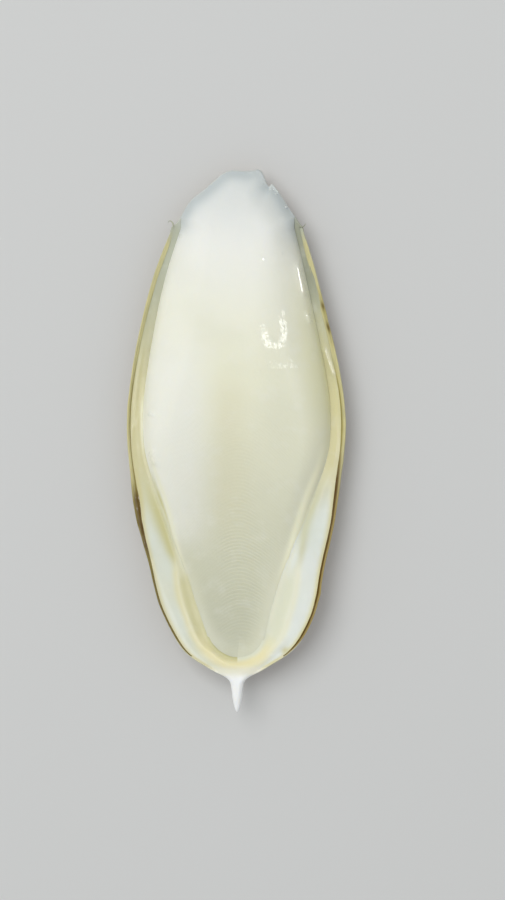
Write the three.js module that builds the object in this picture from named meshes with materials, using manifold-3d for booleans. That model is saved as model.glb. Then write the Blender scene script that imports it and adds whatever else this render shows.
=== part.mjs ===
// A cuttlebone, the chalky inner shell of a cuttlefish, lying on its domed back with the belly side up.
// It grew as one piece: a thin curved shield below, a thick chalky body on it, a raised inner cone and two
// flat wings at the rear, a horny rim along both sides and a pointed spine at the rear end.
//
// Millimetres. X runs across, +Y towards the blunt front end and +Z up. The origin is on the surface that
// the shell rests on, under the middle of its length and breadth. Along the shell, places are given by
// `back`, the distance behind the front edge, so that y = FRONT_Y - back.

import * as THREE from 'three';
import { mergeVertices } from 'three/addons/utils/BufferGeometryUtils.js';
import Module from 'manifold-3d';

const LENGTH = 120; // front edge to the spine's point
const HALF_BREADTH = 24.35; // at the broadest place, rim included
const FRONT_Y = LENGTH / 2;

const FRONT_CORNER = { half: 14.5, back: 12.6 }; // where the free front edge meets the horny rim
const FRONT_REACH = 45; // rows follow the front edge's curve ever less over this length
const HOLLOW_END = 108.4; // rear end of the hollow that the inner cone surrounds
const HOLLOW_CAP_START = 98; // from here on the hollow's sides round off into its U-shaped end
const SPINE = { start: 110.4, full: 113.6, rootHeight: 6.9, tipHeight: 7.5, edge: 0.12, mostDepth: 1.25 };

const RIM_THICKNESS = 0.55; // horny rim
const WING_THICKNESS = 1.0; // chalky wings where they meet the rim
const RIM_BLEND = 3.6; // breadth over which the wing thins down to the rim
const SHELL_ROUNDNESS = 2.2; // power of the back's cross curve: 2 is a parabola
const CONE_RIDGE_HALF = 1.5; // half breadth of the inner cone's rounded ridge
const CONE_LEAN = 0.5; // the wall inside the inner cone is this much broader on the right than in the middle
const BODY_LIP = { rise: 0.2, half: 0.8 }; // faint lip along the body's upper edge
const FOOT_FILLET = 0.5; // how softly the body's side starts where it meets the shield
const REST_CUT = 0.35; // how much of the domed back is worn flat where the shell rests

// A smooth curve through knots [place, value], bent as a thin strip bends round pins, level past its ends.
function through(knots) {
  const last = knots.length - 1;
  const gap = (i) => knots[i + 1][0] - knots[i][0];
  const slope = (i) => (knots[i + 1][1] - knots[i][1]) / gap(i);
  const bend = new Array(last + 1).fill(0);
  const pull = new Array(last + 1).fill(0);
  for (let i = 1; i < last; i++) {
    const stiff = 2 * (gap(i - 1) + gap(i)) - gap(i - 1) * pull[i - 1];
    pull[i] = gap(i) / stiff;
    bend[i] = (6 * (slope(i) - slope(i - 1)) - gap(i - 1) * bend[i - 1]) / stiff;
  }
  for (let i = last - 1; i > 0; i--) bend[i] -= pull[i] * bend[i + 1];
  return (place) => {
    const at = THREE.MathUtils.clamp(place, knots[0][0], knots[last][0]);
    let i = 0;
    while (i < last - 1 && at > knots[i + 1][0]) i++;
    const h = gap(i);
    const a = (knots[i + 1][0] - at) / h;
    const b = 1 - a;
    const sag = ((a ** 3 - a) * bend[i] + (b ** 3 - b) * bend[i + 1]) * h * h / 6;
    return a * knots[i][1] + b * knots[i + 1][1] + sag;
  };
}

// Plan: half breadths seen from above, each over `back`. The first one runs on down the spine to its point.
const rimHalf = through([
  [0, 10.4], [12.6, 14.5], [20.4, 17.25], [31, 20.2], [42, 22.7], [51, 24.05], [56.5, HALF_BREADTH],
  [62, 24.1], [68, 23.4], [77.5, 22.05], [88, 19.4], [98, 16.95], [102.3, 14.9], [105.8, 12.4],
  [107.8, 10.1], [109.6, 7.2], [111.2, 4.55], [112.4, 2.5], [113.3, 1.65], [114.4, 1.32], [116.5, 1.09],
  [117.6, 0.92], [118.8, 0.62], [119.6, 0.36], [120, 0.12],
]);
const rimBreadth = through([
  [12.6, 1.35], [20, 1.3], [30, 1.25], [42, 1.2], [50, 0.95], [57, 0.9], [66, 1.0], [72, 1.4], [78, 1.6],
  [87, 1.1], [100, 0.8], [107.2, 0.3],
]);
const bodyHalf = through([
  [12.6, 12.7], [20, 14.8], [31, 17.4], [42, 19.5], [50, 20.7], [57, 20.95], [62, 20.5], [68, 18.9],
  [74, 16.7], [82.4, 13.6], [90, 10.6], [97, 8.4], [103, 6.8], [108.4, 6.1],
]);

// The midline sways a little, and the chalky body leans to the left on the shield towards the rear.
const sway = through([
  [0, 0.45], [12.6, 0.15], [22, -0.26], [32, -0.35], [42, -0.2], [57, -0.03], [66, -0.1], [76, -0.24],
  [82, -0.02], [88, 0.13], [95, 0.36], [101, 0.63], [104.5, 0.56], [108, 0.2], [112, 0.13], [120, 0.13],
]);
const lean = through([
  [60, 0.07], [73, 0.1], [77.5, 0], [82, -0.36], [88, -0.59], [101, -0.84], [104.5, -0.58], [107, -0.15],
  [111, 0], [113, 0],
]);

// The free front edge, as `back` over the distance from the midline.
const frontEdge = through([
  [-14.5, 12.6], [-13.3, 11.4], [-12.3, 9.7], [-11.4, 8.0], [-8.2, 4.9], [-5.6, 2.7], [-3.0, 0.6], [0, 0.2],
  [3.2, 0.15], [5.2, 0.9], [6.2, 3.2], [7.3, 3.7], [8.6, 4.6], [11.0, 8.0], [12.6, 10.2], [13.5, 11.5],
  [14.5, 12.6],
]);

// Heights along the midline and at the rim.
const keelHeight = through([
  [0, 5.2], [10, 3.5], [20, 2.0], [32, 0.65], [45, -0.1], [57, -REST_CUT], [68, -0.15], [80, 0.7], [92, 2.3],
  [102, 4.2], [108, 5.5], [114, 6.5],
]);
const rimRise = through([
  [0, 1.2], [12.6, 2.6], [25, 4.4], [40, 5.8], [56, 6.4], [70, 6.4], [85, 5.9], [97, 4.7], [107, 2.6],
  [114, 0.8],
]);
const bodyHeight = through([
  [0, 6.7], [5, 8.0], [12, 9.9], [20, 11.6], [28, 12.7], [36, 13.25], [44, 13.2], [52, 12.5], [60, 11.4],
  [70, 9.45], [80, 7.8], [89, 6.8], [97, 6.1], [104, 5.9], [108.4, 6.3],
]);
const valleyDepth = through([[38, 0], [55, 0.45], [75, 0.7], [97, 0.5], [108, 0.3]]);
const crownDrop = through([
  [0, 0.6], [12, 1.3], [30, 2.2], [46, 2.1], [60, 1.2], [72, 0.5], [84, 0.2], [108, 0],
]);
const shoulderBreadth = through([
  [0, 3], [8, 5], [16, 7.5], [30, 9.5], [45, 9], [55, 7.2], [64, 5.7], [72, 4.9], [85, 3.8], [108, 2.4],
]);
// 0.5 makes the shoulder a quarter of an oval, 1 a gentle slope.
const shoulderPower = through([[46, 0.5], [66, 0.72], [82, 1]]);
const shelfHeight = through([
  [50, 4], [60, 6.3], [68, 7.3], [76, 7.6], [85, 7.4], [97, 7.1], [104, 7.3], [110, 7.7],
]);
const lipInset = through([[66, 1.4], [73, 1.45], [77.5, 1.2], [82, 0.7], [86, 0.2], [90, 0]]);
const coneRise = through([[84, 0], [88, 0.2], [97, 0.4], [104, 0.4], [110, 0.35]]);
const coneInset = through([[84, 1.2], [87, 1.8], [91, 2.9], [95, 3.5], [100, 3.4], [104, 2.9], [107, 1.5]]);
const footDrop = through([[56, 0], [66, 0.2], [76, 0.3], [86, 0.35], [93, 0.45], [100, 0.55], [108.4, 0.6]]);

const clamp = THREE.MathUtils.clamp;
const smoothStep = (low, high, value) => THREE.MathUtils.smoothstep(value, low, high);
const smoothMax = (a, b, blend) => (a + b + Math.sqrt((a - b) ** 2 + blend ** 2)) / 2;
const ridge = (offset, half) => Math.exp(-((offset / half) ** 2));

// The outline of the chalky body on the shield: the front edge, and both sides down to the hollow's U end.
function hollowHalf(back) {
  const along = Math.max(0, (back - HOLLOW_CAP_START) / (HOLLOW_END - HOLLOW_CAP_START));
  return bodyHalf(back) * Math.sqrt(Math.max(0, 1 - along ** 4));
}

function bodyOutline() {
  const points = [];
  const frontPoints = 40;
  const sidePoints = 130;
  const start = bodyHalf(FRONT_CORNER.back);
  for (let i = 0; i <= frontPoints; i++) {
    const x = start * ((2 * i) / frontPoints - 1);
    points.push([x, frontEdge(x)]);
  }
  const side = [];
  for (let i = 0; i <= sidePoints; i++) {
    const share = 1 - (1 - i / sidePoints) ** 2;
    const back = FRONT_CORNER.back + share * (HOLLOW_END - FRONT_CORNER.back);
    side.push([hollowHalf(back), back]);
  }
  points.push(...side.map(([x, back]) => [lean(back) + x, back]));
  points.push(...side.map(([x, back]) => [lean(back) - x, back]).reverse());
  return points;
}
const OUTLINE = bodyOutline();

// Distance inside the body's outline, negative outside it. x is from the swaying midline.
function insideBody(x, back) {
  let nearest = Infinity;
  let inside = false;
  for (let i = 0; i < OUTLINE.length; i++) {
    const [ax, ay] = OUTLINE[i];
    const [bx, by] = OUTLINE[(i + 1) % OUTLINE.length];
    const dx = bx - ax;
    const dy = by - ay;
    const along = dx * dx + dy * dy;
    const share = along > 0 ? clamp(((x - ax) * dx + (back - ay) * dy) / along, 0, 1) : 0;
    nearest = Math.min(nearest, Math.hypot(x - ax - share * dx, back - ay - share * dy));
    if ((ay > back) !== (by > back) && x < ax + ((back - ay) / dy) * dx) inside = !inside;
  }
  return inside ? nearest : -nearest;
}

// The spine is a rod, flattened at its root. `side` is 1 for its upper surface and -1 for its lower one.
function spineSurface(x, back, side) {
  const wide = rimHalf(back);
  const middle = THREE.MathUtils.mapLinear(back, SPINE.start, LENGTH, SPINE.rootHeight, SPINE.tipHeight);
  const round = Math.sqrt(Math.max(0, 1 - (x / wide) ** 2));
  return middle + side * (SPINE.edge / 2 + Math.min(wide, SPINE.mostDepth) * round);
}
const spineShare = (back) => smoothStep(SPINE.start, SPINE.full, back);

// The domed back, which faces down.
function underside(x, back) {
  const across = Math.abs(x) / rimHalf(back);
  const low = keelHeight(back) + rimRise(back) * across ** SHELL_ROUNDNESS;
  return THREE.MathUtils.lerp(low, spineSurface(x, back, -1), spineShare(back));
}

// The wings, which run level to the thin rim, and the inner cone's ridge with the wall inside it.
function shieldTop(x, back, inside) {
  const low = underside(x, back);
  const inset = coneInset(back) + CONE_LEAN * clamp(x / 5, -1, 1);
  const fromRim = rimHalf(back) - Math.abs(x) - rimBreadth(back);
  const wing = smoothMax(low + WING_THICKNESS, shelfHeight(back), 0.8);
  const level = Math.min(keelHeight(back) + rimRise(back) + RIM_THICKNESS, shelfHeight(back));
  const rim = smoothMax(low + RIM_THICKNESS, level, 0.2);
  const shelf = rim + (wing - rim) * smoothStep(0, RIM_BLEND, fromRim);
  const cone = coneRise(back) * ridge(-inside - inset, CONE_RIDGE_HALF);
  return shelf + cone - footDrop(back) * smoothStep(-inset, 0, inside);
}

// The belly side: the chalky body stands on the shield, with rounded shoulders.
function upperSide(x, back) {
  const inside = insideBody(x, back);
  const outer = shieldTop(x, back, inside);

  const across = Math.abs(x - lean(back)) / bodyHalf(back);
  const valley = valleyDepth(back) * smoothStep(0, 0.75, across);
  const lip = BODY_LIP.rise * smoothStep(60, 72, back) * ridge(inside - lipInset(back), BODY_LIP.half);
  const body = bodyHeight(back) + valley + lip - crownDrop(back) * across ** 2;

  const into = Math.hypot(Math.max(inside, 0), FOOT_FILLET) - FOOT_FILLET;
  const slope = 1 - clamp(into / shoulderBreadth(back), 0, 1);
  const shell = outer + (body - outer) * (1 - slope ** 2) ** shoulderPower(back);
  return THREE.MathUtils.lerp(shell, spineSurface(x, back, 1), spineShare(back));
}

// Rows run across the shell, columns along it. Columns gather at the body's shoulder, the wings and the rim.
const COLUMNS = { flat: 6, shoulder: 4, wing: 5, rim: 2 };
const rowPlace = through([
  [0, 12.6], [0.1, 16.5], [0.48, 73], [0.68, 99], [0.84, 109.3], [0.92, 113.6], [1, LENGTH],
]);
const ROWS = 66;
const LAST_BODY_ROW = 107.3; // past this the columns keep their shares of the breadth

function columnPlaces(side) {
  const place = Math.min(side, LAST_BODY_ROW);
  const half = rimHalf(place);
  const rim = rimBreadth(place);
  const wing = Math.max(0.6, half - rim - hollowHalf(place));
  const rest = half - rim - wing;
  const shoulder = Math.min(shoulderBreadth(place), rest * 0.55);
  const breadths = { flat: rest - shoulder, shoulder, wing, rim };
  const places = [0];
  for (const [name, count] of Object.entries(COLUMNS)) {
    for (let i = 0; i < count; i++) places.push(places[places.length - 1] + breadths[name] / count);
  }
  const scaled = places.map((x) => (x * rimHalf(side)) / half);
  const outwards = 1 - hollowHalf(place) / half;
  const leant = (x) => x + lean(side) * Math.min(1, (1 - Math.abs(x) / rimHalf(side)) / outwards);
  return [...scaled.slice(1).map((x) => -x).reverse(), ...scaled].map(leant);
}

// Both surfaces over the same rows and columns, joined all round by a wall as high as the edge is thick.
function shellGeometry() {
  const positions = [];
  const faces = [];
  const frontPlaces = columnPlaces(FRONT_CORNER.back);
  const columns = frontPlaces.length - 1;
  for (const surface of [upperSide, underside]) {
    for (let i = 0; i <= ROWS; i++) {
      const side = rowPlace(i / ROWS);
      const front = (1 - Math.min(1, (side - FRONT_CORNER.back) / FRONT_REACH)) ** 3;
      columnPlaces(side).forEach((x, j) => {
        const back = side + front * (frontEdge(frontPlaces[j]) - FRONT_CORNER.back);
        positions.push(x + sway(back), FRONT_Y - back, surface(x, back));
      });
    }
  }
  const upper = (i, j) => i * (columns + 1) + j;
  const lower = (i, j) => (ROWS + 1 + i) * (columns + 1) + j;
  const quad = (a, b, c, d) => faces.push(a, b, c, a, c, d);
  for (let i = 0; i < ROWS; i++) {
    for (let j = 0; j < columns; j++) {
      quad(upper(i, j), upper(i + 1, j), upper(i + 1, j + 1), upper(i, j + 1));
      quad(lower(i, j), lower(i, j + 1), lower(i + 1, j + 1), lower(i + 1, j));
    }
    quad(upper(i, 0), lower(i, 0), lower(i + 1, 0), upper(i + 1, 0));
    quad(upper(i, columns), upper(i + 1, columns), lower(i + 1, columns), lower(i, columns));
  }
  for (let j = 0; j < columns; j++) {
    quad(upper(0, j), upper(0, j + 1), lower(0, j + 1), lower(0, j));
    quad(upper(ROWS, j), lower(ROWS, j), lower(ROWS, j + 1), upper(ROWS, j + 1));
  }
  return indexed(positions, faces);
}

function indexed(positions, faces) {
  const geometry = new THREE.BufferGeometry();
  geometry.setAttribute('position', new THREE.Float32BufferAttribute(positions, 3));
  geometry.setIndex(faces);
  return geometry;
}

// A closed rod along a list of {centre, wide, high}: oval rings square to the way it runs, flat at both ends.
function rodGeometry(stations, sides) {
  const positions = [];
  const faces = [];
  stations.forEach(({ centre, wide, high }, i) => {
    const before = stations[Math.max(0, i - 1)].centre;
    const after = stations[Math.min(stations.length - 1, i + 1)].centre;
    const forward = after.clone().sub(before).normalize();
    const across = new THREE.Vector3(0, 0, 1).cross(forward).normalize();
    const up = forward.clone().cross(across);
    for (let k = 0; k < sides; k++) {
      const angle = (2 * Math.PI * k) / sides;
      const point = centre.clone();
      point.addScaledVector(across, wide * Math.cos(angle));
      point.addScaledVector(up, high * Math.sin(angle));
      positions.push(point.x, point.y, point.z);
    }
  });
  const at = (i, k) => i * sides + (k % sides);
  const last = stations.length - 1;
  for (let i = 0; i < last; i++) {
    for (let k = 0; k < sides; k++) {
      faces.push(at(i, k), at(i, k + 1), at(i + 1, k + 1), at(i, k), at(i + 1, k + 1), at(i + 1, k));
    }
  }
  for (let k = 1; k < sides - 1; k++) {
    faces.push(at(0, 0), at(0, k + 1), at(0, k));
    faces.push(at(last, 0), at(last, k), at(last, k + 1));
  }
  return indexed(positions, faces);
}

// The horny rim's front ends have come loose: a curl on the left and a short spike on the right.
function frayGeometry(points, rootHalf) {
  const knots = points.map(([x, back, z]) => new THREE.Vector3(x, FRONT_Y - back, z));
  const path = new THREE.CatmullRomCurve3(knots);
  const steps = 9;
  const stations = [];
  for (let i = 0; i <= steps; i++) {
    const half = rootHalf * (1 - 0.8 * (i / steps));
    stations.push({ centre: path.getPoint(i / steps), wide: half, high: 0.7 * half });
  }
  return rodGeometry(stations, 7);
}
const LEFT_CURL = [
  [-13.5, 14.2, 5.4], [-13.75, 12.6, 6.0], [-14.1, 11.5, 6.5], [-14.85, 11.1, 6.9], [-15.3, 11.7, 7.0],
];
const RIGHT_SPIKE = [[14.2, 14.4, 5.4], [14.6, 13.1, 6.0], [15.0, 12.3, 6.5], [15.4, 11.75, 6.9]];

const wasm = await Module();
wasm.setup();

function solid(geometry) {
  const bare = geometry.index ? geometry.toNonIndexed() : geometry.clone();
  bare.deleteAttribute('normal');
  bare.deleteAttribute('uv');
  const merged = mergeVertices(bare, 1e-4);
  return new wasm.Manifold(new wasm.Mesh({
    numProp: 3,
    vertProperties: merged.attributes.position.array,
    triVerts: new Uint32Array(merged.index.array),
  }));
}

function geometryOf(made) {
  const mesh = made.getMesh();
  const geometry = new THREE.BufferGeometry();
  geometry.setAttribute('position', new THREE.BufferAttribute(new Float32Array(mesh.vertProperties), 3));
  geometry.setIndex(new THREE.BufferAttribute(new Uint32Array(mesh.triVerts), 1));
  geometry.computeVertexNormals();
  return geometry;
}

// Everything below the resting plane is taken off, which leaves the small flat face that the shell lies on.
function belowTheSurface() {
  const depth = 4;
  return new THREE.BoxGeometry(4 * HALF_BREADTH, 2 * LENGTH, depth).translate(0, 0, -depth / 2);
}

function cuttlebone() {
  const whole = solid(shellGeometry())
    .add(solid(frayGeometry(LEFT_CURL, 0.35)))
    .add(solid(frayGeometry(RIGHT_SPIKE, 0.4)))
    .subtract(solid(belowTheSurface()));
  const chalk = new THREE.MeshStandardMaterial({ color: 0xe6e4d2, roughness: 0.35, metalness: 0 });
  const mesh = new THREE.Mesh(geometryOf(whole), chalk);
  mesh.name = 'cuttlebone';
  return mesh;
}

const part = new THREE.Group();
part.add(cuttlebone());

export default part;
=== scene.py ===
"""A fresh cuttlebone lying on its domed back, seen from straight above, on a plain pale floor.

The shell's shape is worked out in millimetres from curves along its length. `back` is the distance behind
the front edge, x is measured from the shell's midline and z from the floor. Pieces are made in metres.
"""

import math

import bpy
import numpy as np
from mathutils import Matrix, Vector, noise


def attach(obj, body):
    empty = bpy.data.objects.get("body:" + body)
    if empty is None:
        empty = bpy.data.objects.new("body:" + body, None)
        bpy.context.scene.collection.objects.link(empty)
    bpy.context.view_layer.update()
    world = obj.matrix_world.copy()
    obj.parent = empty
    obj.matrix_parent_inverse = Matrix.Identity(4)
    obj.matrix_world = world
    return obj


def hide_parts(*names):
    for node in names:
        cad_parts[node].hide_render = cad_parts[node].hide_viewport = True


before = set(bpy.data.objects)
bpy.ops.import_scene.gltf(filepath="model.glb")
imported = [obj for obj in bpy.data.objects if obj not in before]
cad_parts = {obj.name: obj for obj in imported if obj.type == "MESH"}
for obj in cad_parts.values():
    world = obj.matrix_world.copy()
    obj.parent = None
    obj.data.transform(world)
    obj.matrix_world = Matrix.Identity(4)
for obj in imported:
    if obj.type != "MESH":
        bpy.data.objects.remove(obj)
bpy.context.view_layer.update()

MM = 0.001
SEED = 11

LENGTH = 120.0  # front edge to the spine's point
FRONT_Y = LENGTH / 2
FRONT_CORNER_HALF, FRONT_CORNER_BACK = 14.5, 12.6  # where the free front edge meets the horny rim
FRONT_REACH = 45.0  # rows follow the front edge's curve ever less over this length
HOLLOW_END = 108.4  # rear end of the hollow that the inner cone surrounds
HOLLOW_CAP_START = 98.0  # from here on the hollow's sides round off into its U-shaped end
HOLLOW_CORNER = 104.6  # the body's last row starts and ends here
HOLLOW_REACH = 22.0
BODY_CORNER_BACK = 10.2  # the body's first row starts and ends here
SPINE_START, SPINE_FULL = 110.4, 113.6
SPINE_ROOT_HEIGHT, SPINE_TIP_HEIGHT = 6.9, 7.5
SPINE_EDGE, SPINE_MOST_DEPTH = 0.12, 1.25
RIM_THICKNESS = 0.55
WING_THICKNESS = 1.0
RIM_BLEND = 3.6  # over this breadth the thin rim thickens into the wing
SHELL_ROUNDNESS = 2.2
CONE_RIDGE_HALF, CONE_LEAN = 1.5, 0.5
LIP_RISE, LIP_HALF = 0.2, 0.8
FOOT_FILLET = 0.5
REST_CUT = 0.35  # how deep the worn place in the domed back is
RIM_REAR, RIM_FRONT = 107.6, 12.5  # the horny strips run between these
FAR_OUTSIDE = -9.0  # stands for any place well outside the body's outline
WALL_RINGS = 3
STRIP_THICKNESS = 0.34  # the horny strips
LINE_SPACING = 0.78  # growth lines of the belly side
LINE_HEIGHT = 0.022
BAND_SPACING = 2.6  # growth bands of the domed back
BODY_GAP = 0.12  # between the body and its outline on the shield
BODY_BED = 0.5  # the body's hidden floor above the domed back


# Curves


def through(knots):
    """A smooth curve through knots (place, value), bent like a strip round pins and level past its ends."""
    places, values = np.array(knots, float).T
    gaps = np.diff(places)
    slopes = np.diff(values) / gaps
    count = len(places)
    stiffness = np.eye(count)
    load = np.zeros(count)
    for i in range(1, count - 1):
        stiffness[i, i - 1:i + 2] = gaps[i - 1], 2 * (gaps[i - 1] + gaps[i]), gaps[i]
        load[i] = 6 * (slopes[i] - slopes[i - 1])
    bends = np.linalg.solve(stiffness, load)

    def curve(place):
        at = np.clip(np.asarray(place, float), places[0], places[-1])
        i = np.clip(np.searchsorted(places, at, side="left") - 1, 0, count - 2)
        h = gaps[i]
        a = (places[i + 1] - at) / h
        b = 1 - a
        sag = ((a**3 - a) * bends[i] + (b**3 - b) * bends[i + 1]) * h * h / 6
        return a * values[i] + b * values[i + 1] + sag

    return curve


def smooth_step(start, end, value):
    """Rises smoothly from 0 at start to 1 at end, or falls where start is the larger."""
    share = np.clip((value - start) / (end - start), 0, 1)
    return share * share * (3 - 2 * share)


def stretch(start, full, fade, end, value):
    """Rises from start to full and falls again from fade to end."""
    return smooth_step(start, full, value) * smooth_step(end, fade, value)


def smooth_max(a, b, blend):
    return (a + b + np.sqrt((a - b) ** 2 + blend**2)) / 2


def ridge(offset, half):
    return np.exp(-((offset / half) ** 2))


# The plan: half breadths seen from above, each over `back`. The first runs on down the spine to its point.

rim_half = through([
    (0, 10.4), (12.6, 14.5), (20.4, 17.25), (31, 20.2), (42, 22.7), (51, 24.05), (56.5, 24.35), (62, 24.1),
    (68, 23.4), (77.5, 22.05), (88, 19.4), (98, 16.95), (102.3, 14.9), (105.8, 12.4), (107.8, 10.1),
    (109.6, 7.2), (111.2, 4.55), (112.4, 2.5), (113.3, 1.65), (114.4, 1.32), (116.5, 1.09), (117.6, 0.92),
    (118.8, 0.62), (119.6, 0.36), (120, 0.12),
])
rim_breadth = through([
    (12.6, 1.35), (20, 1.3), (30, 1.25), (42, 1.2), (50, 0.95), (57, 0.9), (66, 1.0), (72, 1.4), (78, 1.6),
    (87, 1.1), (100, 0.8), (107.2, 0.3),
])
left_horn = through([
    (12.6, 0.5), (16, 1.0), (22, 1.2), (30, 1.05), (42, 0.95), (49, 0.85), (56, 0.85), (63, 0.9), (69, 1.2),
    (74, 1.6), (77.5, 1.35), (82, 0.95), (86.5, 0.65), (92, 0.5), (104, 0.45), (107.6, 0.3),
])
right_horn = through([
    (12.6, 0.6), (17, 1.1), (22, 1.35), (30, 1.35), (36, 1.2), (42, 1.3), (47, 1.15), (54, 1.1), (62, 1.15),
    (68, 1.2), (74, 1.05), (80, 0.95), (90, 0.85), (98, 0.85), (104, 0.8), (107.6, 0.3),
])
body_half = through([
    (12.6, 12.7), (20, 14.8), (31, 17.4), (42, 19.5), (50, 20.7), (57, 20.95), (62, 20.5), (68, 18.9),
    (74, 16.7), (82.4, 13.6), (90, 10.6), (97, 8.4), (103, 6.8), (108.4, 6.1),
])

# The midline sways a little, and the chalky body leans to the left on the shield towards the rear.

sway = through([
    (0, 0.45), (12.6, 0.15), (22, -0.26), (32, -0.35), (42, -0.2), (57, -0.03), (66, -0.1), (76, -0.24),
    (82, -0.02), (88, 0.13), (95, 0.36), (101, 0.63), (104.5, 0.56), (108, 0.2), (112, 0.13), (120, 0.13),
])
lean = through([
    (60, 0.07), (73, 0.1), (77.5, 0), (82, -0.36), (88, -0.59), (101, -0.84), (104.5, -0.58), (107, -0.15),
    (111, 0), (113, 0),
])
front_edge = through([
    (-14.5, 12.6), (-13.3, 11.4), (-12.3, 9.7), (-11.4, 8.0), (-8.2, 4.9), (-5.6, 2.7), (-3.0, 0.6),
    (0, 0.2), (3.2, 0.15), (5.2, 0.9), (6.2, 3.2), (7.3, 3.7), (8.6, 4.6), (11.0, 8.0), (12.6, 10.2),
    (13.5, 11.5), (14.5, 12.6),
])

# Heights along the midline and at the rim.

keel_height = through([
    (0, 5.2), (10, 3.5), (20, 2.0), (32, 0.65), (45, -0.1), (57, -REST_CUT), (68, -0.15), (80, 0.7),
    (92, 2.3), (102, 4.2), (108, 5.5), (114, 6.5),
])
rim_rise = through([
    (0, 1.2), (12.6, 2.6), (25, 4.4), (40, 5.8), (56, 6.4), (70, 6.4), (85, 5.9), (97, 4.7), (107, 2.6),
    (114, 0.8),
])
body_height = through([
    (0, 6.7), (5, 8.0), (12, 9.9), (20, 11.6), (28, 12.7), (36, 13.25), (44, 13.2), (52, 12.5), (60, 11.4),
    (70, 9.45), (80, 7.8), (89, 6.8), (97, 6.1), (104, 5.9), (108.4, 6.3),
])
valley_depth = through([(38, 0), (55, 0.45), (75, 0.7), (97, 0.5), (108, 0.3)])
crown_drop = through([(0, 0.6), (12, 1.3), (30, 2.2), (46, 2.1), (60, 1.2), (72, 0.5), (84, 0.2), (108, 0)])
shoulder_breadth = through([
    (0, 3), (8, 5), (16, 7.5), (30, 9.5), (45, 9), (55, 7.2), (64, 5.7), (72, 4.9), (85, 3.8), (108, 2.4),
])
# Painted shade: how strongly the right flank is darkened towards the body's edge, along the shell.
flank_shade_share = through([(12, 0), (18, 0.1), (25, 0.26), (38, 0.46), (51, 0.46), (60, 0.15), (70, 0)])
shoulder_power = through([(46, 0.5), (66, 0.72), (82, 1)])  # 0.5 is a quarter of an oval, 1 a gentle slope
shelf_height = through([
    (50, 4), (60, 6.3), (68, 7.3), (76, 7.6), (85, 7.4), (97, 7.1), (104, 7.3), (110, 7.7),
])
lip_inset = through([(66, 1.4), (73, 1.45), (77.5, 1.2), (82, 0.7), (86, 0.2), (90, 0)])
cone_rise = through([(84, 0), (88, 0.2), (97, 0.4), (104, 0.4), (110, 0.35)])
cone_inset = through([(84, 1.2), (87, 1.8), (91, 2.9), (95, 3.5), (100, 3.4), (104, 2.9), (107, 1.5)])
foot_drop = through([(56, 0), (66, 0.2), (76, 0.3), (86, 0.35), (93, 0.45), (100, 0.55), (108.4, 0.6)])


# The shell's surfaces


def hollow_half(back):
    along = np.clip((back - HOLLOW_CAP_START) / (HOLLOW_END - HOLLOW_CAP_START), 0, 1)
    return body_half(back) * np.sqrt(1 - along**4)


def body_outline():
    """The chalky body's outline on the shield: the front edge, and both sides down to the U-shaped end."""
    x = np.linspace(-1, 1, 161) * body_half(FRONT_CORNER_BACK)
    front = np.stack([x, front_edge(x)], 1)
    share = 1 - (1 - np.linspace(0, 1, 260)) ** 2
    back = FRONT_CORNER_BACK + share * (HOLLOW_END - FRONT_CORNER_BACK)
    right = np.stack([lean(back) + hollow_half(back), back], 1)
    left = np.stack([lean(back) - hollow_half(back), back], 1)
    return np.concatenate([front, right[1:], left[::-1]])


OUTLINE = body_outline()


def inside_body(x, back):
    """Distance inside the body's outline, negative outside it."""
    points = np.stack([np.ravel(x), np.ravel(back)], 1)
    start, end = OUTLINE, np.roll(OUTLINE, -1, 0)
    step = end - start
    length = np.maximum((step**2).sum(1), 1e-12)
    nearest = np.empty(len(points))
    crossings = np.empty(len(points), int)
    for first in range(0, len(points), 4000):
        some = points[first:first + 4000, None, :]
        away = some - start
        share = np.clip((away * step).sum(2) / length, 0, 1)
        gap = away - share[..., None] * step
        nearest[first:first + 4000] = np.sqrt((gap**2).sum(2).min(1))
        spans = (start[:, 1] > some[..., 1]) != (end[:, 1] > some[..., 1])
        rise = np.where(step[:, 1] == 0, 1e-12, step[:, 1])
        crosses = start[:, 0] + away[..., 1] / rise * step[:, 0]
        crossings[first:first + 4000] = (spans & (some[..., 0] < crosses)).sum(1)
    return np.where(crossings % 2 == 1, nearest, -nearest).reshape(np.shape(x))


def spine_surface(x, back, side):
    wide = rim_half(back)
    along = (back - SPINE_START) / (LENGTH - SPINE_START)
    middle = SPINE_ROOT_HEIGHT + (SPINE_TIP_HEIGHT - SPINE_ROOT_HEIGHT) * along
    round_off = np.sqrt(np.clip(1 - (x / wide) ** 2, 0, 1))
    return middle + side * (SPINE_EDGE / 2 + np.minimum(wide, SPINE_MOST_DEPTH) * round_off)


def blend_to_spine(shell, x, back, side):
    share = smooth_step(SPINE_START, SPINE_FULL, back)
    return shell + (spine_surface(x, back, side) - shell) * share


def underside(x, back):
    across = np.abs(x) / rim_half(back)
    return blend_to_spine(keel_height(back) + rim_rise(back) * across**SHELL_ROUNDNESS, x, back, -1)


def crest_inset(x, back):
    """How far outside the body's foot the inner cone's ridge runs."""
    return cone_inset(back) + CONE_LEAN * np.clip(x / 5, -1, 1)


def shield_top(x, back, inside):
    """The wings, which run level to the thin rim, and the inner cone's ridge with the wall inside it."""
    low = underside(x, back)
    inset = crest_inset(x, back)
    from_rim = rim_half(back) - np.abs(x) - rim_breadth(back)
    wing = smooth_max(low + WING_THICKNESS, shelf_height(back), 0.8)
    level = np.minimum(keel_height(back) + rim_rise(back) + RIM_THICKNESS, shelf_height(back))
    rim = smooth_max(low + RIM_THICKNESS, level, 0.2)
    shelf = rim + (wing - rim) * smooth_step(0, RIM_BLEND, from_rim)
    cone = cone_rise(back) * ridge(-inside - inset, CONE_RIDGE_HALF)
    return shelf + cone - foot_drop(back) * smooth_step(-inset, 0, inside)


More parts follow.
